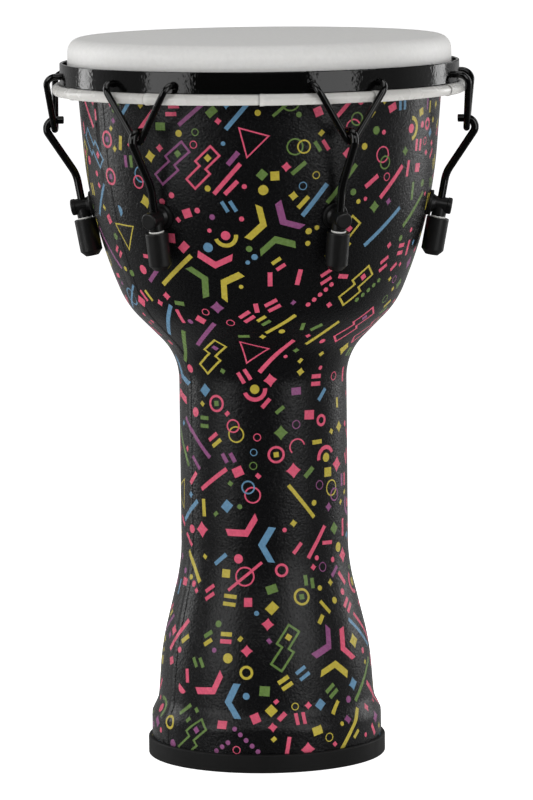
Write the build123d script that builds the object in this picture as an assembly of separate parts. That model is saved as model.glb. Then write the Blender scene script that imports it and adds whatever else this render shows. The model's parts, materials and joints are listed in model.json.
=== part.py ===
from build123d import *
from math import asin, atan2, cos, degrees, hypot, pi, radians, sin, tan
import os

# Djembe, 12 inch class, key-tuned. Millimetres, +Z up, origin on the floor under the shell's axis.
# Six tuning stations repeat around Z. Each is drawn in the XZ plane and turned into place.

# ---- whole drum ----
HEIGHT = 585.0  # floor to playing surface
STATIONS = 6
FIRST_STATION_ANGLE = -5.0  # degrees from +X

# ---- shell and its printed wrap ----
FOOT_R = 93.7
STEM_R = 68.0
RIM_R = 150.0
SHELL_BOTTOM_Z = 3.0
RIM_Z = 582.9
WRAP_THICKNESS = 0.5
WALL_THICKNESS = 5.0
WRAP_TOP_Z = 572.0
RIM_OUTER_ROUND = 4.0
RIM_INNER_ROUND = 0.6

# ---- foot ring ----
FOOT_RING_R = 96.8
FOOT_RING_TOP_Z = 15.0
FOOT_RING_INNER_TOP_Z = 11.5
FOOT_RING_LIP = 3.0
FOOT_RING_ROUND = 1.3
SEATING_GAP = 0.05

# ---- head ----
COLLAR_R = 154.7
FILM = 1.0
SHOULDER_R = 11.0
FLESH_R = 163.2  # radius of the flesh hoop's section centre about Z
FLESH_Z = 543.6
FLESH_CORE_R = 3.6
SLEEVE_R = 4.5
CUFF_R = 4.65
SLEEVE_COUNT = 11
SLEEVE_GAP_ANGLE = 0.12
CUFF_ANGLE = 3.2
FIRST_JOINT_ANGLE = -90.0
SKIRT_START_Z = 547.2
SKIRT_BEND = 1.5

# ---- tension hoop ----
HOOP_OUTER_R = 161.0
HOOP_THICKNESS = 2.5
HOOP_BOTTOM_Z = 547.9
HOOP_TOP_Z = 565.1
HOOP_ROUND = 0.7
HOOK_HOLE_R = 3.1
HOOK_HOLE_Z = 554.5
HOOK_HALF_ANGLE = 10.3  # degrees between a hook's hole and its station

# ---- V hooks ----
HOOK_WIRE_R = 2.65
HOOK_TIP_R = 155.8
HOOK_CORNER_R = 172.8
HOOK_CORNER_BEND = 7.5
HOOK_EYE_R = 166.4
HOOK_EYE_Z = 509.95
HOOK_EYE_BEND = 4.35

# ---- tension rods ----
ROD_R = 3.15
ROD_TILT = 10.5  # lean of the straight part, outwards going up
ROD_SLANT = 34.0  # lean of the part below the crook
ROD_BEND = 28.0
CROOK_BEND = 7.0
CROOK_R = 173.4  # outermost point of the rod's centre line
ROD_TIP_R = 159.5
ROD_TIP_Z = 517.8
ROD_IN_NUT = 22.9
ROD_END_CHAMFER = 0.5

# ---- lugs ----
LUG_SEAT_R = 136.1
LUG_SEAT_Z = 450.0
LUG_DISC_R = 10.5
LUG_DISC_THICKNESS = 1.6
LUG_HUB_R = 7.6
LUG_BARREL_R = 6.25
LUG_COLLAR_R = 6.7
LUG_DISC_BEVEL = 0.5
LUG_HUB_END = 5.2
LUG_WAIST_ROUND = 1.5
LUG_COLLAR_START = 14.6
LUG_COLLAR_BEVEL = 0.6
LUG_END = 18.6
LUG_END_ROUND = 1.4
LUG_THREAD_DEPTH = 5.1
ROD_HOLE_R = 3.2
ROD_HOLE_OUT = 9.2  # rod axis from the wrap's surface
GASKET_TOP = 1.0
GASKET_R = 10.2

# ---- lug fixing, behind the wall ----
SCREW_R = 3.0
SCREW_HOLE_R = 3.25
DRILL_REACH = 10.0
SCREW_THREAD_R = 3.05
SCREW_REACH = 4.9
SCREW_HEAD_R = 6.0
SCREW_HEAD_HEIGHT = 4.0
SCREW_HEAD_ROUND = 1.6
SCREW_SOCKET_AF = 4.0
SCREW_SOCKET_DEPTH = 2.4
WRAP_CURVE_DEPTH = 3.0  # more than the wall falls away across a gasket or pad
PAD_R = 11.0
PAD_FACE = 8.0  # pad's flat face, measured inwards from the wrap's surface
WASHER_R = 10.0
WASHER_THICKNESS = 1.5

# ---- tuning nut and its washers, measured along the rod from its crossing with the lug ----
SEAT_WASHER_R = 5.9
SEAT_WASHER_END = 9.4
NYLON_WASHER_END = 10.6
NUT_START = 10.7
NUT_R = 9.1
NUT_LENGTH = 30.5
NUT_CHAMFER = 4.2  # along the nut
NUT_CHAMFER_IN = 3.8  # across it
NUT_TOP_ROUND = 0.8
NUT_BORE_DEPTH = 23.5
NUT_SOCKET_AF = 8.0
NUT_SOCKET_DEPTH = 6.0


# ------------------------------------------------------------------ helpers

def turned(outline, start=0.0, arc=360.0):
    """Solid made by turning a closed outline, drawn as (radius, height), about Z."""
    face = Plane.XZ * make_face(outline)
    return Rot(0, 0, start) * revolve(face, Axis.Z, arc)


def ends(line):
    """Lower and upper end of an open line drawn as (radius, height)."""
    return sorted([line @ 0, line @ 1], key=lambda point: point.Y)


def band_between(outer, inner):
    """Closed outline between two open lines, joined at their lower and at their upper ends."""
    caps = [Line(*pair) for pair in zip(ends(outer), ends(inner))]
    return [*outer.edges(), *inner.edges(), *caps]


def station_angle(index):
    return FIRST_STATION_ANGLE + index * 360.0 / STATIONS


def at_stations(solid):
    """Copies of a solid drawn at angle 0, one at each tuning station."""
    return [Rot(0, 0, station_angle(index)) * solid for index in range(STATIONS)]


# Lug frame: origin on the wrap, local Z out of the shell, local X up the rod.
LEAN = radians(ROD_TILT)
ROD_UP = Vector(sin(LEAN), 0, cos(LEAN))
LUG_OUT = Vector(cos(LEAN), 0, -sin(LEAN))
LUG_SEAT = Vector(LUG_SEAT_R, 0, LUG_SEAT_Z)
ROD_CROSSING = LUG_SEAT + LUG_OUT * ROD_HOLE_OUT
LUG_FRAME = Plane(origin=LUG_SEAT, x_dir=ROD_UP, z_dir=LUG_OUT)
ROD_DOWN_FRAME = Plane(origin=ROD_CROSSING, x_dir=LUG_OUT, z_dir=-ROD_UP)


def along_lug(radius, start, end):
    """Cylinder on the lug's axis between two distances out from the wrap."""
    bar = Pos(0, 0, start) * extrude(Circle(radius), end - start)
    return LUG_FRAME * bar


def down_rod(radius, start, end):
    """Cylinder on the rod's axis between two distances below its crossing with the lug."""
    bar = Pos(0, 0, start) * extrude(Circle(radius), end - start)
    return ROD_DOWN_FRAME * bar


# ------------------------------------------------------------------ shell

def inset_line(distance):
    """Outline of the shell from foot to rim, moved into the wall from the wrap's outer surface."""
    outer = FilletPolyline(
        (FOOT_R, SHELL_BOTTOM_Z), (FOOT_R, 35), (88.1, 46), (84.7, 90), (STEM_R, 158), (STEM_R, 327.5),
        (109.5, 369.5), (138, 438), (RIM_R, RIM_Z), radius=[8.5, 15, 215, 150, 48, 70, 370],
    )
    outer = Wire(outer.edges())
    if distance == 0:
        return outer
    return outer.offset_2d(distance, kind=Kind.INTERSECTION, side=Side.LEFT, closed=False)


def make_shell():
    """Moulded wall, well rounded at the outer corner of the rim and barely at the inner one."""
    shell = turned(band_between(inset_line(WRAP_THICKNESS), inset_line(WRAP_THICKNESS + WALL_THICKNESS)))
    shell = fillet(rim_edges(shell)[-1], RIM_OUTER_ROUND)
    shell = fillet(rim_edges(shell)[0], RIM_INNER_ROUND)
    return shell - lug_holes()


def rim_edges(shell):
    """Circles at the top of the shell, smallest first."""
    circles = shell.edges().filter_by(GeomType.CIRCLE)
    return circles.filter_by(lambda edge: edge.center().Z > RIM_Z - 1).sort_by(SortBy.RADIUS)


def lug_holes():
    """Drills through the wall and the wrap at every station."""
    return at_stations(along_lug(SCREW_HOLE_R, -DRILL_REACH, DRILL_REACH))


def make_wrap():
    wrap = turned(band_between(inset_line(0), inset_line(WRAP_THICKNESS)))
    wrap -= Pos(0, 0, WRAP_TOP_Z) * extrude(Circle(RIM_R), HEIGHT - WRAP_TOP_Z)
    return wrap - lug_holes()


def filled(line):
    """Solid of everything between an open line and the Z axis."""
    low, high = ends(line)
    spine = Polyline(low, (0, low.Y), (0, high.Y), high)
    return turned([*line.edges(), *spine.edges()])


def make_foot_ring():
    """Rubber ring with a groove that takes the bottom edge of the shell and its wrap."""
    outer, inner = FOOT_R + SEATING_GAP, FOOT_R - WRAP_THICKNESS - WALL_THICKNESS - SEATING_GAP
    lip, floor = inner - FOOT_RING_LIP, SHELL_BOTTOM_Z - SEATING_GAP
    groove = [(outer, FOOT_RING_TOP_Z), (outer, floor), (inner, floor), (inner, FOOT_RING_INNER_TOP_Z)]
    corners = [(lip, FOOT_RING_INNER_TOP_Z), (lip, 0), (FOOT_RING_R, 0), (FOOT_RING_R, FOOT_RING_TOP_Z)]
    face = make_face(Polyline(*groove, *corners, close=True))
    rounded = [face.vertices().sort_by_distance(corner)[0] for corner in corners]
    return revolve(Plane.XZ * fillet(rounded, FOOT_RING_ROUND), Axis.Z)


# ------------------------------------------------------------------ head and hoops

# The film's skirt runs from the foot of the collar straight at the flesh hoop's centre.
SKIRT_RUN = (Vector(FLESH_R, FLESH_Z) - Vector(COLLAR_R, SKIRT_START_Z)).normalized()
SKIRT_INWARD = Vector(SKIRT_RUN.Y, -SKIRT_RUN.X)


def make_drumhead():
    """Film: flat top, rounded shoulder, straight collar, and a skirt that runs in to the flesh hoop."""
    skirt_end = Vector(FLESH_R, FLESH_Z) - SKIRT_RUN * (FLESH_CORE_R + SEATING_GAP)
    outer = FilletPolyline(
        (0, HEIGHT), (COLLAR_R, HEIGHT), (COLLAR_R, SKIRT_START_Z), (skirt_end.X, skirt_end.Y),
        radius=[SHOULDER_R, SKIRT_BEND],
    )
    outer = Wire(outer.edges())
    inner = outer.offset_2d(FILM, kind=Kind.INTERSECTION, side=Side.RIGHT, closed=False)
    return turned(band_between(outer, inner))


def make_flesh_hoop():
    return revolve(Plane.XZ * (Pos(FLESH_R, FLESH_Z) * Circle(FLESH_CORE_R)), Axis.Z)


def sleeve_run(radius, start, arc):
    """Tube over the flesh hoop's core, open along the slit that the film comes in through."""
    centre = SKIRT_INWARD * (FILM / 2) - SKIRT_RUN * FLESH_CORE_R
    slant = degrees(atan2(SKIRT_RUN.Y, SKIRT_RUN.X))
    slit = Pos(centre.X, centre.Y) * (Rot(0, 0, slant) * Rectangle(6, FILM + 2 * SEATING_GAP))
    section = Circle(radius) - Circle(FLESH_CORE_R + 2 * SEATING_GAP) - slit
    return Rot(0, 0, start) * revolve(Plane.XZ * (Pos(FLESH_R, FLESH_Z) * section), Axis.Z, arc)


def make_sleeves():
    """Sleeve segments end to end round the core, each with a wider cuff at one end."""
    pitch = 360.0 / SLEEVE_COUNT
    starts = [FIRST_JOINT_ANGLE + index * pitch for index in range(SLEEVE_COUNT)]
    length = pitch - SLEEVE_GAP_ANGLE - CUFF_ANGLE
    return [
        sleeve_run(CUFF_R, start, CUFF_ANGLE) + sleeve_run(SLEEVE_R, start + CUFF_ANGLE, length)
        for start in starts
    ]


def make_tension_hoop():
    centre = ((HOOP_OUTER_R - HOOP_THICKNESS / 2), (HOOP_BOTTOM_Z + HOOP_TOP_Z) / 2)
    section = Pos(*centre) * RectangleRounded(HOOP_THICKNESS, HOOP_TOP_Z - HOOP_BOTTOM_Z, HOOP_ROUND)
    hoop = revolve(Plane.XZ * section, Axis.Z)
    drill = Pos(HOOP_OUTER_R - 8, 0, HOOK_HOLE_Z) * (Rot(0, 90, 0) * extrude(Circle(HOOK_HOLE_R), 16))
    for index in range(STATIONS):
        for side in (-1, 1):
            hoop -= Rot(0, 0, station_angle(index) + side * HOOK_HALF_ANGLE) * drill
    return hoop


# ------------------------------------------------------------------ tuning station

def on_hole_ray(radius, side):
    """Point at a radius on the ray through one of the station's two hoop holes."""
    angle = radians(side * HOOK_HALF_ANGLE)
    return Vector(radius * cos(angle), radius * sin(angle), HOOK_HOLE_Z)


def make_v_hook():
    left, right = on_hole_ray(HOOK_CORNER_R, 1), on_hole_ray(HOOK_CORNER_R, -1)
    rise = HOOK_HOLE_Z - HOOK_EYE_Z - HOOK_EYE_BEND
    half_angle = atan2(left.Y, rise) - asin(HOOK_EYE_BEND / hypot(left.Y, rise))
    drop = HOOK_EYE_BEND / sin(half_angle) - HOOK_EYE_BEND
    point = Vector(HOOK_EYE_R, 0, HOOK_EYE_Z - drop)
    path = FilletPolyline(
        on_hole_ray(HOOK_TIP_R, 1), left, point, right, on_hole_ray(HOOK_TIP_R, -1),
        radius=[HOOK_CORNER_BEND, HOOK_EYE_BEND, HOOK_CORNER_BEND],
    )
    section = Plane(origin=path @ 0, z_dir=path % 0) * Circle(HOOK_WIRE_R)
    return sweep(section, path)


def make_tension_rod():
    """Straight threaded end, slanted part, and a crook that hangs on the V hook's legs."""
    slant = radians(ROD_SLANT)
    crook_centre_r = CROOK_R - CROOK_BEND
    corner = Vector(crook_centre_r + CROOK_BEND / tan((pi / 2 - slant) / 2), 0, ROD_TIP_Z)
    slant_up = Vector(sin(slant), 0, cos(slant))
    # The slanted line through the corner meets the rod's straight line at the lower bend.
    reach = (corner - ROD_CROSSING).dot(LUG_OUT) / slant_up.dot(LUG_OUT)
    bend = corner - slant_up * reach
    end = ROD_CROSSING - ROD_UP * (NUT_START + ROD_IN_NUT)
    tip = Vector(ROD_TIP_R, 0, ROD_TIP_Z)
    path = FilletPolyline(end, bend, corner, tip, radius=[ROD_BEND, CROOK_BEND])
    rod = sweep(Plane(origin=end, z_dir=ROD_UP) * Circle(ROD_R), path)
    return chamfer(rod.faces().filter_by(GeomType.PLANE).edges(), ROD_END_CHAMFER)


def make_lug():
    """Cast post: disc on the gasket, hub, barrel, end collar, cross hole, blind thread behind."""
    disc_top = GASKET_TOP + LUG_DISC_THICKNESS
    outline = Polyline(
        (0, GASKET_TOP), (LUG_DISC_R, GASKET_TOP), (LUG_DISC_R, disc_top - LUG_DISC_BEVEL),
        (LUG_DISC_R - LUG_DISC_BEVEL, disc_top), (LUG_HUB_R, disc_top), (LUG_BARREL_R, LUG_HUB_END),
        (LUG_BARREL_R, LUG_COLLAR_START), (LUG_COLLAR_R, LUG_COLLAR_START + LUG_COLLAR_BEVEL),
        (LUG_COLLAR_R, LUG_END), (0, LUG_END), close=True,
    )
    face = make_face(outline)
    face = fillet(face.vertices().sort_by_distance((LUG_BARREL_R, LUG_HUB_END))[0], LUG_WAIST_ROUND)
    face = fillet(face.vertices().sort_by_distance((LUG_COLLAR_R, LUG_END))[0], LUG_END_ROUND)
    lug = LUG_FRAME * revolve(Plane.XZ * face, Axis.Z)
    lug -= down_rod(ROD_HOLE_R, -LUG_DISC_R, LUG_DISC_R)
    return lug - along_lug(SCREW_THREAD_R, 0, LUG_THREAD_DEPTH)


def screw_hole(start, end):
    """Clearance hole for the lug's screw between two distances out from the wrap."""
    return along_lug(SCREW_HOLE_R, start, end)


def make_lug_gasket(core):
    """Flat outside, and curved to the wrap behind."""
    gasket = along_lug(GASKET_R, -WRAP_CURVE_DEPTH, GASKET_TOP) - screw_hole(-WRAP_CURVE_DEPTH, GASKET_TOP)
    return gasket - core


def make_backing_pad(hollow):
    """Curved to the inside of the wall, and flat under the screw's washer."""
    pad = along_lug(PAD_R, -PAD_FACE, -WRAP_CURVE_DEPTH) - screw_hole(-PAD_FACE, -WRAP_CURVE_DEPTH)
    return pad & hollow


def make_screw_washer():
    back = -PAD_FACE - WASHER_THICKNESS
    return along_lug(WASHER_R, back, -PAD_FACE) - screw_hole(back, -PAD_FACE)


def make_lug_screw():
    seat = -PAD_FACE - WASHER_THICKNESS
    back = seat - SCREW_HEAD_HEIGHT
    head = Pos(0, 0, back) * extrude(Circle(SCREW_HEAD_R), SCREW_HEAD_HEIGHT)
    head = fillet(head.edges().sort_by(Axis.Z)[0], SCREW_HEAD_ROUND)
    shank = Pos(0, 0, seat) * extrude(Circle(SCREW_R), SCREW_REACH - seat)
    socket = RegularPolygon(SCREW_SOCKET_AF / 2, 6, major_radius=False)
    screw = head + shank - Pos(0, 0, back) * extrude(socket, SCREW_SOCKET_DEPTH)
    return LUG_FRAME * screw


def make_seat_washer(lug):
    """Washer with a saddle that fits the underside of the lug's barrel."""
    washer = down_rod(SEAT_WASHER_R, 0, SEAT_WASHER_END) - along_lug(LUG_BARREL_R, 0, LUG_END) - lug
    washer = washer.solids().sort_by(Axis.Z)[0]
    return washer - down_rod(ROD_HOLE_R, 0, SEAT_WASHER_END)


def make_nylon_washer():
    faces = SEAT_WASHER_END, NYLON_WASHER_END
    return down_rod(SEAT_WASHER_R, *faces) - down_rod(ROD_HOLE_R, *faces)


def make_tuning_nut():
    """Long round nut: thread from the top, hex socket for the tuning key from below."""
    nut_end = NUT_START + NUT_LENGTH
    nut = Pos(0, 0, NUT_START) * extrude(Circle(NUT_R), NUT_LENGTH)
    nut = chamfer(nut.edges().sort_by(Axis.Z)[-1], NUT_CHAMFER, NUT_CHAMFER_IN)
    nut = fillet(nut.edges().sort_by(Axis.Z)[0], NUT_TOP_ROUND)
    nut -= Pos(0, 0, NUT_START) * extrude(Circle(ROD_HOLE_R), NUT_BORE_DEPTH)
    socket = RegularPolygon(NUT_SOCKET_AF / 2, 6, major_radius=False)
    nut -= Pos(0, 0, nut_end - NUT_SOCKET_DEPTH) * extrude(socket, NUT_SOCKET_DEPTH)
    return ROD_DOWN_FRAME * nut


# ------------------------------------------------------------------ assembly

def save(name, *solids):
    """Writes one node's STEP file."""
    parts = [part.solid() for part in solids]
    export_step(Compound(children=parts, label=name), f"parts/{name}.step")


def main():
    os.makedirs("parts", exist_ok=True)
    core = filled(inset_line(0))
    hollow = filled(inset_line(WRAP_THICKNESS + WALL_THICKNESS))
    save("shell", make_shell())
    save("wrap", make_wrap())
    save("foot_ring", make_foot_ring())
    save("drumhead", make_drumhead())
    save("flesh_hoop", make_flesh_hoop())
    save("hoop_sleeves", *make_sleeves())
    save("tension_hoop", make_tension_hoop())
    groups = {
        "lug_gaskets": make_lug_gasket(core),
        "backing_pads": make_backing_pad(hollow),
        "screw_washers": make_screw_washer(),
        "lug_screws": make_lug_screw(),
    }
    for name, solid in groups.items():
        save(name, *at_stations(solid))
    lug = make_lug()
    singles = {
        "lug": lug,
        "seat_washer": make_seat_washer(lug),
        "nylon_washer": make_nylon_washer(),
        "tuning_nut": make_tuning_nut(),
        "tension_rod": make_tension_rod(),
        "v_hook": make_v_hook(),
    }
    for name, solid in singles.items():
        for index, placed in enumerate(at_stations(solid)):
            save(f"{name}_{index + 1}", placed)


main()
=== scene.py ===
import json
import random
from math import cos, hypot, pi, radians, sin, tan

import bpy
import numpy as np
from mathutils import Matrix, Vector
from mathutils.geometry import delaunay_2d_cdt


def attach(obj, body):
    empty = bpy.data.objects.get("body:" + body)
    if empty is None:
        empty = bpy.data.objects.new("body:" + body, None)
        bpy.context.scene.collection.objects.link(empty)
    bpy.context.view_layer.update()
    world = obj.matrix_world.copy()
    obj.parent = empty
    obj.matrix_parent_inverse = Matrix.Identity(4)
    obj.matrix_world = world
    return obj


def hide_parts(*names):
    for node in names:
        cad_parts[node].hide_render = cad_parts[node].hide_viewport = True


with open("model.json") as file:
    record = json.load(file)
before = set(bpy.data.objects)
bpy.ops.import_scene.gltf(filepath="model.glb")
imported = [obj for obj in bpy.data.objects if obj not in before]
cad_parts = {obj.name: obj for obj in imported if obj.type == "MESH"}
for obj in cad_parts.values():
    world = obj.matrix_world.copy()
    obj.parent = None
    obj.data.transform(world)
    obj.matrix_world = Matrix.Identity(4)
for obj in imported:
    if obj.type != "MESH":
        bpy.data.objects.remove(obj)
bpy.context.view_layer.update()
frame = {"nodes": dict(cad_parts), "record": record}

# A key-tuned djembe: printed goblet shell, white head, black hoop, hooks, rods and nuts.
# Lengths are metres unless a name ends in _MM. Azimuth 0 is the side that faces -Y.

MM = 0.001
SEED = 20

# ---- camera, as the drum is seen: from a little above, through a long lens ----
CAMERA_DISTANCE = 3.95
CAMERA_HEIGHT = 0.79
CAMERA_PITCH_DEG = 7.225
CAMERA_ROLL_DEG = 0.65
CAMERA_LENS = 220.5
CAMERA_SHIFT_X = 0.0042

# ---- outline of the wrap, radius and height in millimetres, with the bend at each inner corner ----
OUTLINE_MM = [
    (93.7, 3), (93.7, 35), (88.1, 46), (84.7, 90), (68, 158), (68, 327.5), (109.5, 369.5), (138, 438),
    (150, 582.9),
]
OUTLINE_BENDS_MM = [8.5, 15, 215, 150, 48, 70, 370]
WRAP_TOP_MM = 572
WRAP_THICKNESS_MM = 0.5

# ---- inks of the print, sRGB 0..255 ----
INKS = {
    "pink": (196, 78, 104),
    "yellow": (169, 154, 57),
    "green": (90, 115, 59),
    "blue": (86, 125, 153),
    "purple": (127, 70, 113),
}
INK_WEIGHTS = {"pink": 44, "yellow": 27, "green": 13, "blue": 9, "purple": 10}
GROUND = (14, 14, 15)

# ---- print: flat film, cut along every motif, its lap at the seam and its wrinkles ----
CLEARANCE_MM = 2.3
PLACE_TRIES = 400
EDGE_STEP_MM = 2.4
SEAM_ANGLE = radians(-63)
LAP_ANGLE = radians(5)
LAP_HEIGHT_MM = 0.32
LAP_POINTS = (-0.62, -0.38, 0.38, 0.62)  # flat millimetres either side of the lap's edge
WRINKLE_COUNTS = (17, 23, 31, 44, 57)
WRINKLE_DRIFT = 0.006
WRINKLE_MM = (0.08, 0.45)  # everywhere, and more where the film is pulled over a bend
PULLS = [(0.6, 35, 22), (0.8, 150, 45), (1.0, 325, 26)]  # strength, middle and reach along the outline
UNIT_MM = 100  # flat millimetres per radian in the plane where the mesh is cut
COLUMNS = 180
ROW_STEP_MM = 4.0
SEAM_MARGIN_MM = 60
INNER_ROWS = 90

# ---- head, hoop sleeves ----
HEAD_WHITE = (0.74, 0.735, 0.72)
SLEEVE_WHITE = (0.585, 0.575, 0.55)
FLESH_R_MM = 163.2
FLESH_Z_MM = 543.6
SLEEVE_R_MM = 4.3
SLEEVE_BORE_MM = 3.65
SLEEVE_COUNT = 11
FIRST_JOINT_ANGLE = 0.0
SLEEVE_STEP_MM = 1.1
SLEEVE_COLUMNS = 40
CUFF_MM = 3.2
CUFF_RISE_MM = 0.25
CUFF_BORE_RISE_MM = 0.5
CUFF_SHARPNESS = 4
LIP_MM = 0.1
TAPER_MM = 0.22
TUCK_MM = 1.6  # how far each sleeve slips into the next one's cuff
NECK_MM = 0.25  # how much each sleeve narrows there
FOLDS = 5
FOLD_MM = 0.15
FOLD_TURN_DEG = 14
DENTS_PER_SLEEVE = 9
DENT_MM = (-0.35, 0.22)
DENT_WIDTH_MM = (0.9, 4.0)
DENT_SIDE = (-0.9, 1.2)  # radians up from outwards
SLEEVE_GREY = 0.96
CUFF_PALER = 0.08
# painted shade: how much darker, and over what width, each sleeve is painted where it slips into the next
# cuff
JOINT_PAINTED_SHADE = 0.55
JOINT_PAINTED_SHADE_WIDTH_MM = 0.9
SLIT_CENTRE_DEG = 126
SLIT_HALF_DEG = 10

# ---- room ----
FLOOR_DIM = 0.05
FLOOR_GLOW = 1.0
FLOOR_GLOW_SPAN = (-0.7, -0.2)  # from this Y to this Y the floor goes from dim to full glow
WORLD_FRONT = 0.02
WORLD_BACK = 0.32
WORLD_SIDES = 0.22
WORLD_BACK_SPAN = (-0.1, 0.8)  # of the direction's Y
WORLD_SIDE_SPAN = (0.72, 0.92)  # of the size of the direction's X


def linear(rgb):
    """sRGB 0..255 to linear 0..1."""
    return tuple((c / 255 / 12.92) if c / 255 <= 0.04045 else ((c / 255 + 0.055) / 1.055) ** 2.4 for c in rgb)


# ------------------------------------------------------------------ camera

def make_camera():
    data = bpy.data.cameras.new("camera")
    data.lens = CAMERA_LENS
    data.sensor_width = 36
    data.shift_x = CAMERA_SHIFT_X
    data.clip_end = 100
    camera = bpy.data.objects.new("camera", data)
    place = Matrix.Translation((0, -CAMERA_DISTANCE, CAMERA_HEIGHT))
    tilt = Matrix.Rotation(radians(90 - CAMERA_PITCH_DEG), 4, "X")
    roll = Matrix.Rotation(radians(-CAMERA_ROLL_DEG), 4, "Z")
    camera.matrix_world = place @ tilt @ roll
    bpy.context.scene.collection.objects.link(camera)
    bpy.context.scene.camera = camera


# ------------------------------------------------------------------ node helpers

class Shader:
    """A material with a Principled node and short calls for the nodes around it."""

    def __init__(self, name, colour, roughness, **sockets):
        self.material = bpy.data.materials.new(name)
        self.material.use_nodes = True
        self.tree = self.material.node_tree
        self.surface = self.tree.nodes["Principled BSDF"]
        self.surface.inputs["Base Color"].default_value = (*colour, 1)
        self.surface.inputs["Roughness"].default_value = roughness
        for socket, value in sockets.items():
            self.surface.inputs[socket.replace("_", " ")].default_value = value
        self.bump_normal = None

    def node(self, kind, **settings):
        made = self.tree.nodes.new(kind)
        for key, value in settings.items():
            setattr(made, key, value)
        return made

    def link(self, output, target):
        self.tree.links.new(output, target)

    def coordinates(self, scale=(1, 1, 1)):
        """Object coordinates in metres, stretched by a scale."""
        place = self.node("ShaderNodeTexCoord")
        mapping = self.node("ShaderNodeMapping")
        mapping.inputs["Scale"].default_value = scale
        self.link(place.outputs["Object"], mapping.inputs["Vector"])
        return mapping.outputs["Vector"]

    def noise(self, scale, detail=2, stretch=(1, 1, 1), distortion=0.0):
        made = self.node("ShaderNodeTexNoise")
        made.inputs["Scale"].default_value = scale
        made.inputs["Detail"].default_value = detail
        made.inputs["Distortion"].default_value = distortion
        self.link(self.coordinates(stretch), made.inputs["Vector"])
        return made.outputs["Fac"]

    def remap(self, value, low, high, from_low=0.3, from_high=0.7):
        made = self.node("ShaderNodeMapRange")
        made.inputs["From Min"].default_value = from_low
        made.inputs["From Max"].default_value = from_high
        made.inputs["To Min"].default_value = low
        made.inputs["To Max"].default_value = high
        self.link(value, made.inputs["Value"])
        return made.outputs["Result"]

    def rough(self, value):
        self.link(value, self.surface.inputs["Roughness"])

    def colour(self, value):
        self.link(value, self.surface.inputs["Base Color"])

    def mix(self, factor, first, second, blend="MIX"):
        made = self.node("ShaderNodeMix", data_type="RGBA", blend_type=blend)
        for socket, value in (("Factor", factor), ("A", first), ("B", second)):
            target = next(s for s in made.inputs if s.name == socket and s.enabled and self.fits(s, socket))
            if isinstance(value, (tuple, float, int)):
                target.default_value = (*value, 1) if isinstance(value, tuple) else value
            else:
                self.link(value, target)
        return next(s for s in made.outputs if s.enabled)

    @staticmethod
    def fits(socket, name):
        return socket.type == ("VALUE" if name == "Factor" else "RGBA")

    def bump(self, height, strength, depth):
        """Adds a layer of relief, depth in metres, over the layers already there."""
        made = self.node("ShaderNodeBump")
        made.inputs["Strength"].default_value = strength
        made.inputs["Distance"].default_value = depth
        self.link(height, made.inputs["Height"])
        if self.bump_normal:
            self.link(self.bump_normal, made.inputs["Normal"])
        self.bump_normal = made.outputs["Normal"]
        self.link(self.bump_normal, self.surface.inputs["Normal"])


# ------------------------------------------------------------------ materials

def printed_wrap_material():
    """Satin film: ink colours from the mesh, fine pebbled grain, faint vertical stretch lines."""
    shader = Shader("printed_wrap", linear(GROUND), 0.3, Specular_IOR_Level=0.24)
    ink = shader.node("ShaderNodeAttribute", attribute_name="ink")
    mottle = shader.remap(shader.noise(420, 3), 0.86, 1.06)
    grey = shader.node("ShaderNodeCombineColor")
    for channel in ("Red", "Green", "Blue"):
        shader.link(mottle, grey.inputs[channel])
    shader.colour(shader.mix(1.0, ink.outputs["Color"], grey.outputs["Color"], "MULTIPLY"))
    shader.rough(shader.remap(shader.noise(380, 3), 0.15, 0.34))
    shader.bump(shader.noise(240, 1, stretch=(1, 1, 0.04)), 0.12, 0.00015)
    shader.bump(shader.noise(570, 2), 1.0, 0.00037)
    shader.bump(shader.noise(1200, 2), 0.7, 0.00018)
    return shader.material


def laminate_material():
    shader = Shader("shell_laminate", (0.028, 0.027, 0.026), 0.6, Specular_IOR_Level=0.35)
    fibres = shader.noise(180, 6, stretch=(1, 1, 0.4), distortion=1.5)
    shader.rough(shader.remap(fibres, 0.5, 0.75))
    shader.bump(fibres, 0.6, 0.0004)
    return shader.material


def rubber_material():
    shader = Shader("black_rubber", (0.005, 0.005, 0.005), 0.55, Specular_IOR_Level=0.2)
    shader.rough(shader.remap(shader.noise(90, 4), 0.5, 0.64))
    shader.bump(shader.noise(900, 3), 0.3, 0.0001)
    return shader.material


def head_material():
    """Coated white film: matte playing surface with a fine fibre fleck, a little light through it."""
    shader = Shader("head_film", HEAD_WHITE, 0.5, Specular_IOR_Level=0.35)
    shader.surface.inputs["Subsurface Weight"].default_value = 0.15
    shader.surface.inputs["Subsurface Radius"].default_value = (0.004, 0.004, 0.0035)
    fleck = shader.remap(shader.noise(260, 6, distortion=0.6), 0.965, 1.02)
    grey = shader.node("ShaderNodeCombineColor")
    for channel in ("Red", "Green", "Blue"):
        shader.link(fleck, grey.inputs[channel])
    shader.colour(shader.mix(1.0, HEAD_WHITE, grey.outputs["Color"], "MULTIPLY"))
    shader.rough(shader.remap(shader.noise(340, 4), 0.42, 0.56))
    shader.bump(shader.noise(1100, 4), 0.25, 0.00008)
    return shader.material


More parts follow.
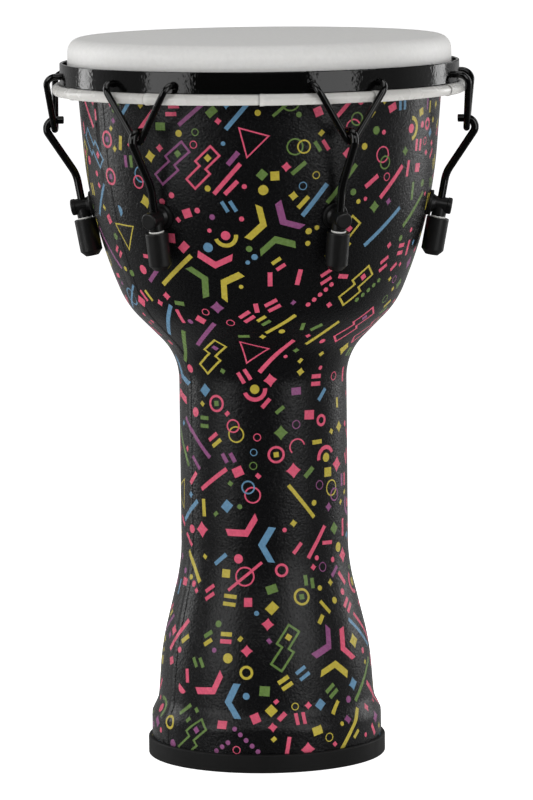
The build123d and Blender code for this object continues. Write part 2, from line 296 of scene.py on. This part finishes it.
def sleeve_material():
    """Soft white plastic, glossy, a little cloudy where it has been handled. Its colour is multiplied by
    painted shade at each joint and a paler tone on each cuff.
    """
    shader = Shader("white_sleeve", SLEEVE_WHITE, 0.22, Specular_IOR_Level=0.5)
    shader.surface.inputs["Subsurface Weight"].default_value = 0.15
    shader.surface.inputs["Subsurface Radius"].default_value = (0.003, 0.003, 0.0025)
    # the sleeve's grey, its paler cuffs and the painted shade at each joint, read from the mesh
    cuff_tone_and_joint_shade = shader.node("ShaderNodeAttribute", attribute_name="cuff_tone_and_joint_shade")
    shader.colour(shader.mix(1.0, SLEEVE_WHITE, cuff_tone_and_joint_shade.outputs["Color"], "MULTIPLY"))
    shader.rough(shader.remap(shader.noise(60, 3), 0.16, 0.34))
    shader.bump(shader.noise(45, 2, stretch=(1, 1, 2)), 0.25, 0.0006)
    return shader.material


def gloss_black_material():
    """Gloss black powder coat: clear reflections with ragged edges from the orange peel."""
    shader = Shader("gloss_black_hoop", (0.002, 0.002, 0.002), 0.05, Specular_IOR_Level=0.34)
    shader.rough(shader.remap(shader.noise(120, 3), 0.03, 0.08))
    shader.bump(shader.noise(330, 2), 0.7, 0.00026)
    return shader.material


def rod_material():
    shader = Shader("black_rod", (0.002, 0.002, 0.002), 0.08, Specular_IOR_Level=0.4)
    shader.rough(shader.remap(shader.noise(200, 3), 0.04, 0.08))
    shader.bump(shader.noise(420, 2), 0.3, 0.0001)
    return shader.material


def cast_material(name, roughness, grain):
    shader = Shader(name, (0.005, 0.005, 0.005), roughness, Specular_IOR_Level=0.34)
    shader.rough(shader.remap(shader.noise(300, 4), roughness - 0.05, roughness + 0.08))
    shader.bump(shader.noise(grain, 3), 0.35, 0.0001)
    return shader.material


def nylon_material():
    shader = Shader("white_nylon", (0.78, 0.77, 0.74), 0.4)
    shader.rough(shader.remap(shader.noise(400, 3), 0.34, 0.46))
    shader.bump(shader.noise(600, 2), 0.2, 0.00005)
    return shader.material


def steel_material():
    shader = Shader("zinc_steel", (0.55, 0.55, 0.54), 0.32, Metallic=1.0)
    shader.rough(shader.remap(shader.noise(350, 5, stretch=(1, 1, 6)), 0.26, 0.42))
    shader.bump(shader.noise(800, 3), 0.2, 0.00005)
    return shader.material


def dress_cad_nodes(materials):
    """Gives each CAD node the material of its slot, on the object's own slot."""
    slots = {part["node"]: part["material_slot"] for part in frame["record"]["subparts"]}
    for name, obj in frame["nodes"].items():
        for slot in obj.material_slots:
            slot.link = "OBJECT"
            slot.material = materials[slots[name]]


# ------------------------------------------------------------------ outline of the wrap

def bend_points(before, corner, after, radius, steps=16):
    """Points of the arc that rounds a corner."""
    back, on = (before - corner).normalized(), (after - corner).normalized()
    half = back.angle(on) / 2
    centre = corner + (back + on).normalized() * (radius / sin(half))
    first, last = corner + back * (radius / tan(half)) - centre, corner + on * (radius / tan(half)) - centre
    turn = first.angle_signed(last)
    return [centre + Matrix.Rotation(-turn * step / steps, 2) @ first for step in range(steps + 1)]


class Outline:
    """The wrap's outer line, addressed by distance along it from the foot, in millimetres."""

    def __init__(self):
        corners = [Vector(point) for point in OUTLINE_MM]
        points = [corners[0]]
        for index, radius in enumerate(OUTLINE_BENDS_MM):
            points += bend_points(*corners[index:index + 3], radius)
        points.append(corners[-1])
        points = np.array([tuple(point) for point in points])
        lengths = np.hypot(*np.diff(points, axis=0).T)
        reach = np.concatenate([[0], np.cumsum(lengths)])
        self.s = np.arange(0, reach[-1], 0.5)
        self.r = np.interp(self.s, reach, points[:, 0])
        self.z = np.interp(self.s, reach, points[:, 1])
        keep = self.z <= WRAP_TOP_MM
        self.s, self.r, self.z = self.s[keep], self.r[keep], self.z[keep]
        self.length = self.s[-1]
        along_r, along_z = np.gradient(self.r, self.s), np.gradient(self.z, self.s)
        smooth = np.ones(7) / 7
        along_r = np.convolve(np.pad(along_r, 3, mode="edge"), smooth, mode="valid")
        along_z = np.convolve(np.pad(along_z, 3, mode="edge"), smooth, mode="valid")
        size = np.hypot(along_r, along_z)
        self.out_r, self.out_z = along_z / size, -along_r / size

    def radius(self, s):
        return np.interp(s, self.s, self.r)

    def point(self, angle, s, lift):
        """Points in metres at angles from the front, distances along the line and lifts off it."""
        r = np.interp(s, self.s, self.r) + np.interp(s, self.s, self.out_r) * lift
        z = np.interp(s, self.s, self.z) + np.interp(s, self.s, self.out_z) * lift
        return np.stack([r * np.sin(angle), -r * np.cos(angle), z], axis=-1) * MM


# ------------------------------------------------------------------ print: motifs, in millimetres

def circle(radius, count=None):
    count = count or max(14, int(radius * 4))
    return [(radius * cos(2 * pi * k / count), radius * sin(2 * pi * k / count)) for k in range(count)]


def rectangle(length, width):
    x, y = length / 2, width / 2
    return [(-x, -y), (x, -y), (x, y), (-x, y)]


def turned(loop, degrees, shift=(0, 0)):
    c, s = cos(radians(degrees)), sin(radians(degrees))
    return [(x * c - y * s + shift[0], x * s + y * c + shift[1]) for x, y in loop]


def bar(length, width, degrees=45, shift=(0, 0)):
    return turned(rectangle(length, width), degrees, shift), []


def ring(radius, width, shift=(0, 0)):
    return turned(circle(radius), 0, shift), [turned(circle(radius - width), 0, shift)]


def star(reach):
    points = [(cos(2 * pi * k / 28), sin(2 * pi * k / 28)) for k in range(28)]
    return [(reach * x * abs(x) ** 1.4, reach * y * abs(y) ** 1.4) for x, y in points], []


def arch(radius, width, sweep_degrees):
    steps = 18
    angles = [radians(sweep_degrees) * k / steps for k in range(steps + 1)]
    outer = [(radius * cos(a), radius * sin(a)) for a in angles]
    inner = [((radius - width) * cos(a), (radius - width) * sin(a)) for a in reversed(angles)]
    return outer + inner, []


def half_disc(radius):
    return [(radius * cos(pi * k / 16), radius * sin(pi * k / 16)) for k in range(17)], []


def stepped_frame(length, width, step, line):
    """Outline of a rectangle whose two halves are shifted past each other."""
    a, b, h = length / 2, width / 2, step / 2

    def loop(inset):
        x, y, mid = a - inset, b - inset, 0 if inset else line
        return [
            (-x, -y - h), (mid, -y - h), (mid, -y + h), (x, -y + h),
            (x, y + h), (-mid, y + h), (-mid, y - h), (-x, y - h),
        ]

    return loop(0), [loop(line)]


def triangle_frame(side, line):
    def loop(size):
        return [(size * cos(radians(90 + 120 * k)), size * sin(radians(90 + 120 * k))) for k in range(3)]

    reach = side / 1.732
    return loop(reach), [loop(reach - 2 * line)]


def chevron(arm, thick):
    """Thick V with its ends cut straight up and down, point towards -Y."""
    line = [(-arm, arm * 0.42), (0, 0), (arm * 0.82, arm * 0.62)]
    return line + [(x, y + thick) for x, y in reversed(line)], []


def spun(shape, degrees, shift=(0, 0)):
    outer, holes = shape
    return turned(outer, degrees, shift), [turned(hole, degrees, shift) for hole in holes]


class Confetti:
    """Chooses motifs. Each call returns the motif's shapes with their inks."""

    def __init__(self, rng):
        self.rng = rng

    def ink(self, *avoid):
        names = [name for name in INKS if name not in avoid]
        return self.rng.choices(names, [INK_WEIGHTS[name] for name in names])[0]

    def slope(self):
        return self.rng.choice([45, 45, 45, -45]) + self.rng.uniform(-10, 10)

    def between(self, low, high):
        return self.rng.uniform(low, high)

    def long_bar(self):
        return [(bar(self.between(28, 46), self.between(3.1, 3.9), self.slope()), self.ink())]

    def short_bar(self):
        angle = self.slope() + self.rng.choice([0, 0, 45])
        return [(bar(self.between(8, 15), self.between(3, 4), angle), self.ink())]

    def pair(self):
        angle = self.rng.choice([0, 90, 35, 35, -60]) + self.between(-4, 4)
        gap, length, width = self.between(2.8, 3.3), self.between(8, 11), self.between(2.9, 3.6)
        first = self.ink()
        second = self.ink(first) if self.rng.random() < 0.35 else first
        slide = self.rng.choice([0, 1.5])
        low = spun(bar(length, width, 0, (-slide, -gap)), angle)
        return [(low, first), (spun(bar(length, width, 0, (slide, gap)), angle), second)]

    def dot(self):
        return [((circle(self.between(1.7, 2.9)), []), self.ink())]

    def big_dot(self):
        return [((circle(self.between(3.2, 4.2)), []), self.ink())]

    def small_ring(self):
        return [(ring(self.between(3, 4.2), 0.75), self.ink())]

    def thick_ring(self):
        return [(ring(self.between(5, 6.4), self.between(1.8, 2.6)), self.ink())]

    def square(self):
        angle = self.rng.choice([0, 45, 45, 20]) + self.between(-6, 6)
        return [(bar(self.between(6.5, 9), self.between(6, 8), angle), self.ink())]

    def small_square(self):
        return [(bar(self.between(3.2, 4.6), self.between(3, 4), self.slope()), self.ink())]

    def star(self):
        return [(spun(star(self.between(5, 7)), self.between(-10, 10)), self.ink())]

    def small_star(self):
        return [(spun(star(self.between(3, 4.2)), self.between(-10, 10)), self.ink())]

    def dotted_row(self):
        angle, ink, pitch = radians(self.slope()), self.ink(), self.between(5.6, 6.6)
        return [((turned(circle(2), 0, (pitch * k * cos(angle), pitch * k * sin(angle))), []), ink)
                for k in (-2, -1, 0, 1, 2)]

    def half(self):
        return [(spun(half_disc(self.between(4.5, 6)), self.between(0, 360)), self.ink())]

    def arc_and_dot(self):
        ink = self.ink()
        return [(spun(arch(10, 3.3, 165), self.between(0, 360)), ink), ((circle(3.8), []), self.ink(ink))]

    def thin_arch(self):
        return [(spun(arch(7, 1.2, 210), self.between(0, 360)), self.ink())]

    def crossed_ring(self):
        ink = self.ink()
        return [(ring(8, 1.3), ink), (bar(36, 2.4, 40), ink)]

    def ring_pair(self):
        first = self.ink()
        angle = radians(self.between(0, 360))
        shift = (3.6 * cos(angle), 3.6 * sin(angle))
        return [(ring(6.8, 1.2, shift), first), (ring(5.6, 1.2, (-shift[0], -shift[1])), self.ink(first))]

    def ring_square(self):
        ink = self.ink()
        return [(ring(7, 1.9), ink), (bar(4.2, 4.2, 5), self.ink(ink))]

    def frame_and_square(self):
        angle, ink = self.slope(), self.ink()
        length = self.between(34, 40)
        body = spun(stepped_frame(length, 12, 5, 1.8), angle)
        inner = spun(bar(4.6, 4.6, 0, (length * 0.24, 2.5)), angle)
        return [(body, ink), (inner, self.ink(ink))]

    def triangle(self):
        return [(spun(triangle_frame(26, 1.2), self.between(150, 210)), self.ink())]

    def chevrons(self):
        count, start = self.rng.choice([2, 3]), self.between(0, 360)
        shapes, used = [], []
        for k in range(count):
            used.append(self.ink(*used))
            angle = start + 120 * k
            shift = (6 * cos(radians(angle + 90)), 6 * sin(radians(angle + 90)))
            shapes.append((spun(chevron(15.5, 6.0), angle, shift), used[-1]))
        return shapes


# How many of each motif the whole shell carries, largest first.
MOTIF_COUNTS = [
    ("frame_and_square", 26), ("chevrons", 15), ("crossed_ring", 9), ("triangle", 8), ("arc_and_dot", 16),
    ("long_bar", 78), ("ring_pair", 16), ("dotted_row", 9), ("ring_square", 10), ("thin_arch", 8),
    ("thick_ring", 26), ("half", 6), ("pair", 104), ("square", 78), ("short_bar", 118), ("big_dot", 24),
    ("star", 60), ("dot", 150), ("small_ring", 70), ("small_star", 70), ("small_square", 110),
]


def filled_points(loop):
    """Points along a loop's edges and at its middle, close enough together to test for overlap."""
    points = []
    for (ax, ay), (bx, by) in zip(loop, loop[1:] + loop[:1]):
        count = max(1, int(hypot(bx - ax, by - ay) / 2.5))
        points += [(ax + (bx - ax) * k / count, ay + (by - ay) * k / count) for k in range(count)]
    points.append((sum(p[0] for p in loop) / len(loop), sum(p[1] for p in loop) / len(loop)))
    return np.array(points)


class Layout:
    """Scatters motifs over the shell so that none comes nearer to another than the clearance."""

    def __init__(self, outline, rng):
        self.outline = outline
        self.rng = rng
        self.taken = np.zeros((0, 3))
        self.placed = []

    def wrap_points(self, angle, s, points):
        """Local motif points as points on the shell, in millimetres."""
        at_s = s + points[:, 1]
        return self.outline.point(angle + points[:, 0] / self.outline.radius(at_s), at_s, 0) / MM

    def random_place(self, margin):
        while True:
            s = self.rng.uniform(margin, self.outline.length - margin)
            if self.rng.random() < self.outline.radius(s) / 150:
                return self.rng.uniform(-pi, pi), s

    def add(self, shapes):
        points = np.concatenate([filled_points(outer) for (outer, _), _ in shapes])
        margin = np.abs(points[:, 1]).max() + 1.0
        for _ in range(PLACE_TRIES):
            angle, s = self.random_place(margin)
            here = self.wrap_points(angle, s, points)
            near = self.taken[np.abs(self.taken - here.mean(axis=0)).max(axis=1) < 60]
            if len(near):
                gaps = np.linalg.norm(near[:, None] - here[None], axis=2).min()
                if gaps < CLEARANCE_MM:
                    continue
            self.taken = np.concatenate([self.taken, here])
            self.placed.append((angle, s, shapes))
            return True
        return False


def scatter(outline):
    rng = random.Random(SEED)
    confetti, layout = Confetti(rng), Layout(outline, rng)
    for name, count in MOTIF_COUNTS:
        done = sum(layout.add(getattr(confetti, name)()) for _ in range(count))
        print("print:", name, done, "of", count)
    return layout.placed


# ------------------------------------------------------------------ print: mesh

def finely(loop):
    """The loop with its long edges divided, so that they follow the shell."""
    points = []
    for (ax, ay), (bx, by) in zip(loop, loop[1:] + loop[:1]):
        count = max(1, int(hypot(bx - ax, by - ay) / EDGE_STEP_MM + 0.5))
        points += [(ax + (bx - ax) * k / count, ay + (by - ay) * k / count) for k in range(count)]
    return points


def bell(value, middle, reach):
    """A smooth hump of height 1 round a middle."""
    return np.exp(-((value - middle) / reach) ** 2)


def relief(angle, s):
    """Lift of the film off its smooth line, in millimetres: the lap at the seam and faint wrinkles."""
    from_seam = (angle - SEAM_ANGLE) % (2 * pi)
    lap = LAP_HEIGHT_MM * np.clip((LAP_ANGLE - from_seam) * UNIT_MM + 0.5, 0, 1)
    wave = np.zeros_like(s)
    rng = np.random.default_rng(SEED)
    for count in WRINKLE_COUNTS:
        phase, drift = rng.uniform(0, 2 * pi), rng.uniform(-WRINKLE_DRIFT, WRINKLE_DRIFT)
        wave = wave + np.cos(count * angle + phase + drift * s) / count
    pull = sum(strength * bell(s, middle, reach) for strength, middle, reach in PULLS)
    return lap + wave * (WRINKLE_MM[0] + WRINKLE_MM[1] * pull)


def film_grid(outline):
    """Points of the flat film's grid, finer at the lap, and the loop of points round its edge."""
    left = SEAM_ANGLE * UNIT_MM
    columns = np.linspace(left, left + 2 * pi * UNIT_MM, COLUMNS + 1)
    rows = np.linspace(0, outline.length, int(outline.length / ROW_STEP_MM) + 1)
    points = [Vector((x, y)) for y in rows for x in columns]
    lap_edge = left + LAP_ANGLE * UNIT_MM
    points += [Vector((lap_edge + dx, y)) for y in rows[1:-1] for dx in LAP_POINTS]
    across, up = len(columns), len(rows)
    edge = list(range(across)) + [across * k + across - 1 for k in range(1, up)]
    edge += [across * (up - 1) + k for k in range(across - 2, -1, -1)]
    edge += [across * k for k in range(up - 2, 0, -1)]
    return points, edge


def motif_loops(outline, placed):
    """Flat loops of every motif with the motif's key, its ink and whether the loop is a hole."""
    middle = (SEAM_ANGLE + pi) * UNIT_MM
    for layer, (angle, s, shapes) in enumerate(placed):
        for turn in (-1, 0, 1):
            centre = angle + 2 * pi * turn
            if abs(centre * UNIT_MM - middle) > pi * UNIT_MM + SEAM_MARGIN_MM:
                continue
            for rank, ((outer, holes), ink) in enumerate(shapes):
                for hole, loop in [(False, outer)] + [(True, loop) for loop in holes]:
                    loop = np.array(finely(loop))
                    at_s = s + loop[:, 1]
                    at_x = (centre + loop[:, 0] / outline.radius(at_s)) * UNIT_MM
                    yield np.stack([at_x, at_s], axis=1), ((layer, rank, turn), ink, hole)


def top_ink(over):
    """The ink that shows where these loops cover a triangle, or None for the bare ground."""
    holes = {key for key, _, hole in over if hole}
    solid = [(key, ink) for key, ink, hole in over if not hole and key not in holes]
    return max(solid)[1] if solid else None


def cut_print(outline, placed):
    """Cuts the flat film along every motif. Returns flat points, triangles and an ink name for each."""
    points, edge = film_grid(outline)
    faces, layers = [edge], [None]
    for loop, layer in motif_loops(outline, placed):
        faces.append(list(range(len(points), len(points) + len(loop))))
        points += [Vector(p) for p in loop]
        layers.append(layer)
    made = delaunay_2d_cdt(points, [], faces, 0, 1e-5)
    flat, triangles, origins = made[0], made[2], made[5]
    kept = [(tuple(triangle), origin) for triangle, origin in zip(triangles, origins) if 0 in origin]
    inks = [top_ink([layers[k] for k in origin if k]) for _, origin in kept]
    return np.array([tuple(p) for p in flat]), [triangle for triangle, _ in kept], inks


def normals_at(outline, angle, s):
    """Normals of the lifted surface, from points a short step to each side."""
    step = 0.15
    turn = step / outline.radius(s)

    def lifted(a, t):
        return outline.point(a, t, relief(a, t))

    across = lifted(angle + turn, s) - lifted(angle - turn, s)
    up = lifted(angle, s + step) - lifted(angle, s - step)
    normal = np.cross(across, up)
    return normal / np.linalg.norm(normal, axis=1)[:, None]


def weld_seam(angle, s):
    """New numbers for the points, so that the film's two edges share theirs where they meet."""
    left = [k for k in range(len(s)) if abs(angle[k] - SEAM_ANGLE) < 1e-6]
    joined = list(range(len(s)))
    for k in range(len(s)):
        if abs(angle[k] - SEAM_ANGLE - 2 * pi) < 1e-6:
            joined[k] = min(left, key=lambda other: abs(s[other] - s[k]))
    return joined


def inner_skin(outline, first):
    """Points and faces of the film's plain inner side, numbered from first."""
    levels = np.linspace(0, outline.length, INNER_ROWS)
    around = SEAM_ANGLE + 2 * pi * np.arange(COLUMNS) / COLUMNS
    points = np.concatenate([outline.point(around, np.full(COLUMNS, t), -WRAP_THICKNESS_MM) for t in levels])
    faces = []
    for row in range(INNER_ROWS - 1):
        base = first + row * COLUMNS
        for column in range(COLUMNS):
            a, b = base + column, base + (column + 1) % COLUMNS
            faces.append((a, a + COLUMNS, b + COLUMNS, b))
    return points, faces


def rim(edge, base, flip):
    """Quads from the outer skin's edge points to the inner ring that starts at base."""
    quads = []
    for column in range(COLUMNS):
        after = (column + 1) % COLUMNS
        quad = (edge[column], edge[after], base + after, base + column)
        quads.append(quad[::-1] if flip else quad)
    return quads


def wrap_mesh(outline):
    """The film as one closed skin. Returns points, faces, inks and the normals of its outer points."""
    flat, triangles, inks = cut_print(outline, scatter(outline))
    used = sorted({corner for triangle in triangles for corner in triangle})
    number = {corner: k for k, corner in enumerate(used)}
    angle, s = flat[used, 0] / UNIT_MM, flat[used, 1]
    joined = weld_seam(angle, s)
    faces = [tuple(joined[number[c]] for c in triangle) for triangle in triangles]
    outer = outline.point(angle, s, relief(angle, s))
    inner, inner_faces = inner_skin(outline, len(outer))

    def edge(level):
        at_level = [k for k in range(len(s)) if abs(s[k] - level) < 1e-4 and joined[k] == k]
        return sorted(at_level, key=lambda k: angle[k])

    last_ring = len(outer) + (INNER_ROWS - 1) * COLUMNS
    rims = rim(edge(0), len(outer), True) + rim(edge(outline.length), last_ring, False)
    inks += [None] * (len(inner_faces) + len(rims))
    return np.concatenate([outer, inner]), faces + inner_faces + rims, inks, normals_at(outline, angle, s)


def make_wrap(material):
    """The printed film: cut outer face, plain inner face, two rims."""
    points, faces, inks, normals = wrap_mesh(Outline())
    mesh = bpy.data.meshes.new("printed_wrap")
    mesh.from_pydata(points.tolist(), [], faces)
    mesh.materials.append(material)
    paint(mesh, inks)
    set_normals(mesh, normals)
    show(mesh, body="shell_body", node="wrap")


def show(mesh, body, node):
    """Puts a mesh in the scene on a body, in the place of a CAD node."""
    obj = bpy.data.objects.new(mesh.name, mesh)
    bpy.context.scene.collection.objects.link(obj)
    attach(obj, body)
    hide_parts(node)


def paint(mesh, face_inks):
    """Writes each face's ink on its corners."""
    colours = {name: (*linear(rgb), 1.0) for name, rgb in INKS.items()}
    colours[None] = (*linear(GROUND), 1.0)
    layer = mesh.color_attributes.new("ink", "FLOAT_COLOR", "CORNER")
    values = np.empty((len(mesh.loops), 4), dtype=np.float32)
    for polygon, ink in zip(mesh.polygons, face_inks):
        values[polygon.loop_start:polygon.loop_start + polygon.loop_total] = colours[ink]
    layer.data.foreach_set("color", values.ravel())


def set_normals(mesh, normals):
    """Smooth normals on the cut face, flat ones elsewhere."""
    mesh.update()
    corner_normals = np.zeros((len(mesh.loops), 3))
    for polygon in mesh.polygons:
        smooth = all(vertex < len(normals) for vertex in polygon.vertices)
        for loop in polygon.loop_indices:
            corner_normals[loop] = normals[mesh.loops[loop].vertex_index] if smooth else polygon.normal
    mesh.polygons.foreach_set("use_smooth", [True] * len(mesh.polygons))
    mesh.normals_split_custom_set(corner_normals.tolist())


# ------------------------------------------------------------------ hoop sleeves

def sleeve_radii(along, length, phi, dents):
    """Outer and bore radii of one sleeve by distance from its cuffed end and angle up from outwards."""
    cuff = 1 / (1 + np.exp((along - CUFF_MM) * CUFF_SHARPNESS)) + 0 * phi
    neck = 1 / (1 + np.exp((length - TUCK_MM - 1.0 - along) * CUFF_SHARPNESS))
    lip = LIP_MM * bell(along, 0.35, 0.45)
    taper = TAPER_MM * (1 - 2 * along / length)
    waves = np.cos(FOLDS * (phi - radians(FOLD_TURN_DEG))) * (1 + 0.3 * np.sin(along / 9)) * (1 - cuff)
    pressed = sum(depth * bell(along, at, wide) * bell(phi, side, 0.5) for at, side, wide, depth in dents)
    outer = SLEEVE_R_MM + CUFF_RISE_MM * cuff + lip + taper - NECK_MM * neck + FOLD_MM * waves + pressed
    return outer, SLEEVE_BORE_MM + CUFF_BORE_RISE_MM * cuff


def sleeve_dents(rng, length):
    """Places, sides, widths and depths of a few dents and pinches along one sleeve."""
    spans = ((6, length - 3), DENT_SIDE, DENT_WIDTH_MM, DENT_MM)
    return [tuple(rng.uniform(*span) for span in spans) for _ in range(DENTS_PER_SLEEVE)]


def sleeve_points(start, length, dents):
    """Rows of points along one sleeve, each row out along the skin from the slit and back along the bore."""
    slit, half = radians(SLIT_CENTRE_DEG), radians(SLIT_HALF_DEG)
    phi = slit + half + np.linspace(0, 1, SLEEVE_COLUMNS) * (2 * pi - 2 * half)
    along = np.linspace(0, length, int(length / SLEEVE_STEP_MM))[:, None]
    outer, bore = sleeve_radii(along, length, phi[None, :], dents)
    reach = np.concatenate([outer, bore[:, ::-1]], axis=1)
    turn = np.concatenate([phi, phi[::-1]])[None, :]
    angle = FIRST_JOINT_ANGLE + (start + along) / FLESH_R_MM
    r, z = FLESH_R_MM + reach * np.cos(turn), FLESH_Z_MM + reach * np.sin(turn)
    return np.stack([r * np.sin(angle), -r * np.cos(angle), z], axis=-1) * MM


def sleeve_tone_and_joint_shade(grid, length):
    """Grey for each point of a sleeve: painted shade where it enters the next cuff, and a paler tone on its
    own cuff.
    """
    along = np.linspace(0, length, grid.shape[0])
    cuff = np.exp(-((along / CUFF_MM) ** 4))
    # painted shade: a dark band where the sleeve slips into the next cuff
    cuff_tone_and_joint_shade = bell(along, length - TUCK_MM, JOINT_PAINTED_SHADE_WIDTH_MM)
    return np.repeat(SLEEVE_GREY + CUFF_PALER * cuff - JOINT_PAINTED_SHADE * cuff_tone_and_joint_shade, grid.shape[1])


def sleeve_faces(first, rows, width):
    """Quads of one sleeve's sides and of its two ends, over rows of points numbered from first."""
    faces = []
    for row in range(rows - 1):
        base = first + row * width
        for k in range(width):
            a, b = base + k, base + (k + 1) % width
            faces.append((a, a + width, b + width, b))
    for base, flip in ((first, False), (first + (rows - 1) * width, True)):
        for k in range(width // 2 - 1):
            quad = (base + k, base + k + 1, base + width - 2 - k, base + width - 1 - k)
            faces.append(quad[::-1] if flip else quad)
    return faces


def make_sleeves(material):
    """White sleeves end to end round the flesh hoop, each a bent tube with a slit and a cuff."""
    rng = np.random.default_rng(SEED)
    pitch = 2 * pi * FLESH_R_MM / SLEEVE_COUNT
    points, faces, greys = [], [], []
    for index in range(SLEEVE_COUNT):
        grid = sleeve_points(index * pitch, pitch + TUCK_MM, sleeve_dents(rng, pitch))
        greys.append(sleeve_tone_and_joint_shade(grid, pitch + TUCK_MM))
        faces += sleeve_faces(len(points), *grid.shape[:2])
        points += grid.reshape(-1, 3).tolist()
    mesh = bpy.data.meshes.new("white_sleeves")
    mesh.from_pydata(points, [], faces)
    mesh.materials.append(material)
    # the colour attribute carries the sleeve's grey, the paler cuffs and the painted shade at the joints
    shades = np.repeat(np.concatenate(greys), 4).reshape(-1, 4)
    mesh.color_attributes.new("cuff_tone_and_joint_shade", "FLOAT_COLOR", "POINT").data.foreach_set("color", shades.ravel())
    mesh.update()
    mesh.shade_smooth()
    mesh.set_sharp_from_angle(angle=radians(40))
    show(mesh, body="head_assembly", node="hoop_sleeves")


# ------------------------------------------------------------------ room

def softbox(name, azimuth, distance, height, size, radiance, aim=0.35):
    """A soft lamp at an azimuth from the front, positive towards +X, aimed at a height on the axis."""
    turn = radians(azimuth)
    place = Vector((distance * sin(turn), -distance * cos(turn), height))
    data = bpy.data.lights.new(name, "AREA")
    data.shape = "RECTANGLE"
    data.size, data.size_y = size
    data.energy = radiance * pi * size[0] * size[1]
    lamp = bpy.data.objects.new(name, data)
    lamp.location = place
    lamp.rotation_euler = (Vector((0, 0, aim)) - place).to_track_quat("-Z", "Y").to_euler()
    bpy.context.scene.collection.objects.link(lamp)


def make_floor():
    """Pale floor, a little brighter behind the drum, that stays out of mirror reflections."""
    bpy.ops.mesh.primitive_circle_add(vertices=96, radius=30, fill_type="NGON", location=(0, 0, -0.0005))
    floor = bpy.context.object
    floor.name = "floor"
    shader = Shader("floor", (0.92, 0.92, 0.92), 0.9, Specular_IOR_Level=0.1)
    place = shader.node("ShaderNodeTexCoord")
    parts = shader.node("ShaderNodeSeparateXYZ")
    shader.link(place.outputs["Object"], parts.inputs["Vector"])
    glow = shader.remap(parts.outputs["Y"], FLOOR_DIM, FLOOR_GLOW, *FLOOR_GLOW_SPAN)
    shader.surface.inputs["Emission Color"].default_value = (1, 1, 1, 1)
    shader.link(glow, shader.surface.inputs["Emission Strength"])
    floor.data.materials.append(shader.material)
    floor.visible_glossy = False


def make_world():
    """Soft dome, dim in front, brighter behind and low at both sides."""
    world = bpy.data.worlds.new("studio")
    bpy.context.scene.world = world
    world.use_nodes = True
    tree = world.node_tree
    place = tree.nodes.new("ShaderNodeTexCoord")
    parts = tree.nodes.new("ShaderNodeSeparateXYZ")
    size = tree.nodes.new("ShaderNodeMath")
    total = tree.nodes.new("ShaderNodeMath")
    size.operation, total.operation = "ABSOLUTE", "ADD"
    depth = world_ramp(tree, parts.outputs["Y"], WORLD_BACK_SPAN, (WORLD_FRONT, WORLD_BACK))
    sides = world_ramp(tree, size.outputs["Value"], WORLD_SIDE_SPAN, (0, WORLD_SIDES))
    tree.nodes["Background"].inputs["Color"].default_value = (1, 1, 1, 1)
    tree.links.new(place.outputs["Generated"], parts.inputs["Vector"])
    tree.links.new(parts.outputs["X"], size.inputs[0])
    tree.links.new(depth, total.inputs[0])
    tree.links.new(sides, total.inputs[1])
    tree.links.new(total.outputs["Value"], tree.nodes["Background"].inputs["Strength"])


def world_ramp(tree, value, span, levels):
    """Brightness that goes from one level to another while a value crosses a span."""
    ramp = tree.nodes.new("ShaderNodeMapRange")
    names = ("From Min", "From Max", "To Min", "To Max")
    for socket, number in zip(names, (*span, *levels)):
        ramp.inputs[socket].default_value = number
    tree.links.new(value, ramp.inputs["Value"])
    return ramp.outputs["Result"]


def make_room():
    make_floor()
    make_world()
    softbox("front_left", -52, 2.0, 0.85, (0.98, 1.8), 2.8)
    softbox("front_right", 42, 2.0, 0.85, (0.96, 1.8), 2.8)
    softbox("rear_left", -116, 1.9, 0.9, (0.42, 1.9), 4.4)
    softbox("rear_right", 123, 1.9, 0.9, (0.5, 1.9), 3.2)
    softbox("key", 0, 2.5, 1.95, (1.6, 1.0), 2.2, aim=0.5)
    softbox("top", 0, 0.01, 2.5, (1.6, 1.6), 1.6)
    bpy.context.scene.view_settings.view_transform = "Standard"


# ------------------------------------------------------------------ assembly

def main():
    make_camera()
    wrap_material = printed_wrap_material()
    sleeves = sleeve_material()
    dress_cad_nodes({
        "printed_wrap": wrap_material,
        "shell_laminate": laminate_material(),
        "black_rubber": rubber_material(),
        "head_film": head_material(),
        "zinc_steel": steel_material(),
        "white_sleeve": sleeves,
        "gloss_black_hoop": gloss_black_material(),
        "cast_black": cast_material("cast_black", 0.34, 700),
        "white_nylon": nylon_material(),
        "satin_black_nut": cast_material("satin_black_nut", 0.38, 1200),
        "black_rod": rod_material(),
    })
    make_wrap(wrap_material)
    make_sleeves(sleeves)
    make_room()


main()
